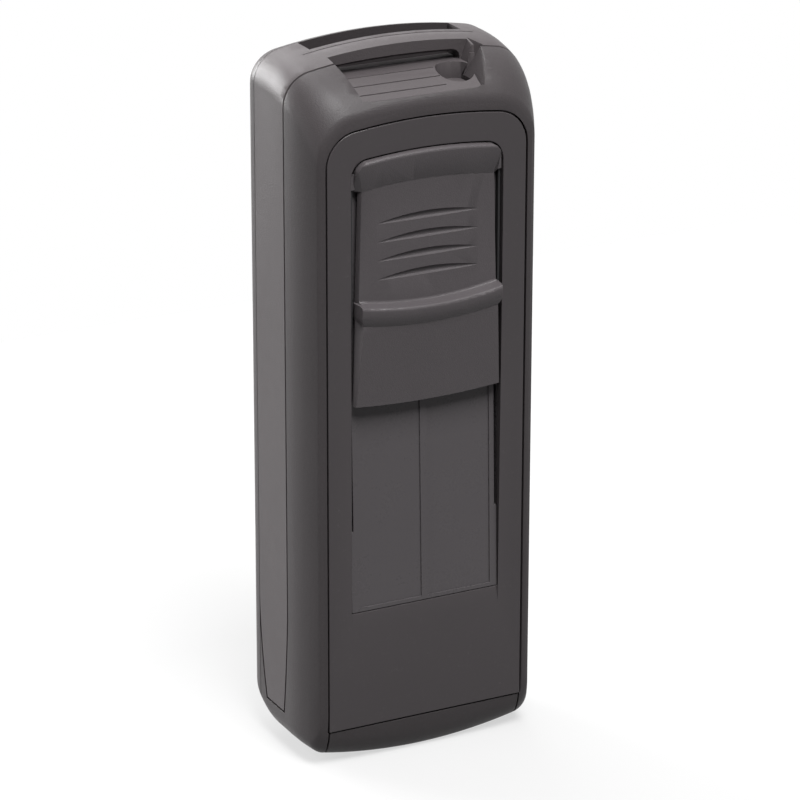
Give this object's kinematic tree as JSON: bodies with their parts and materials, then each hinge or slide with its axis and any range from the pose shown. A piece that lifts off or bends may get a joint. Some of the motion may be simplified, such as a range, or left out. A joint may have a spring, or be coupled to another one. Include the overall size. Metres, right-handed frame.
{
  "type": "pocket self-inking stamp",
  "caption": "Flat upright pocket self-inking stamp: dark case with glossy panel, thumb slider in a long window, strap bar on top, print window in the foot.",
  "frame": {"origin": "middle of the bounding box's underside, on the surface that the closed stamp stands on", "axes": "+X to the right seen from the front, +Y from the front panel to the rear shell, +Z from the foot up to the strap end"},
  "size_m": [0.0408, 0.025, 0.1148],
  "materials": {
    "shell_plastic": "fine matte texture",
    "band_plastic": "fine matte texture",
    "panel_gloss": "high gloss",
    "track_plastic": "satin",
    "slider_plastic": "satin",
    "foot_plastic": "fine matte texture",
    "inner_plastic": "satin",
    "cartridge_plastic": "satin",
    "bearing_plastic": "satin",
    "spring_steel": "bright drawn wire",
    "axle_steel": "ground",
    "pad_felt": "inked felt",
    "cushion_foam": "fine closed foam",
    "plate_rubber": "engraved rubber"
  },
  "bodies": {
    "case": {"front_shell": "shell_plastic", "middle_frame": "band_plastic", "rear_shell": "shell_plastic", "front_panel": "panel_gloss", "track_plate": "track_plastic", "top_bulkhead": "inner_plastic", "guide_rail_left": "inner_plastic", "guide_rail_right": "inner_plastic", "axle_bushes": "bearing_plastic", "return_spring_left": "spring_steel", "return_spring_right": "spring_steel"},
    "frame": {"print_frame": "inner_plastic", "foot_shoe": "foot_plastic", "ink_cartridge": "cartridge_plastic", "ink_pad": "pad_felt", "slider_carriage": "inner_plastic", "slider_button": "slider_plastic", "slider_shield": "slider_plastic", "detent_leaf": "spring_steel"},
    "die": {"die_block": "inner_plastic", "die_axle": "axle_steel", "cam_followers": "axle_steel", "plate_cushion": "cushion_foam", "text_plate": "plate_rubber"}
  },
  "joints": [
    {"name": "frame_slide", "type": "slide", "parent": "case", "child": "frame", "axis": [0, 0, -1], "range_m": [0, 0.0336], "deforming": ["return_spring_left", "return_spring_right"]},
    {"name": "die_flip", "type": "hinge", "parent": "case", "child": "die", "pos_m": [0, 0.00103, 0.0079], "axis": [1, 0, 0], "range_deg": [0, 180]}
  ],
  "couplings": [
    {"joint": "die_flip", "follows": "frame_slide", "rad_per_m": 93.5}
  ]
}
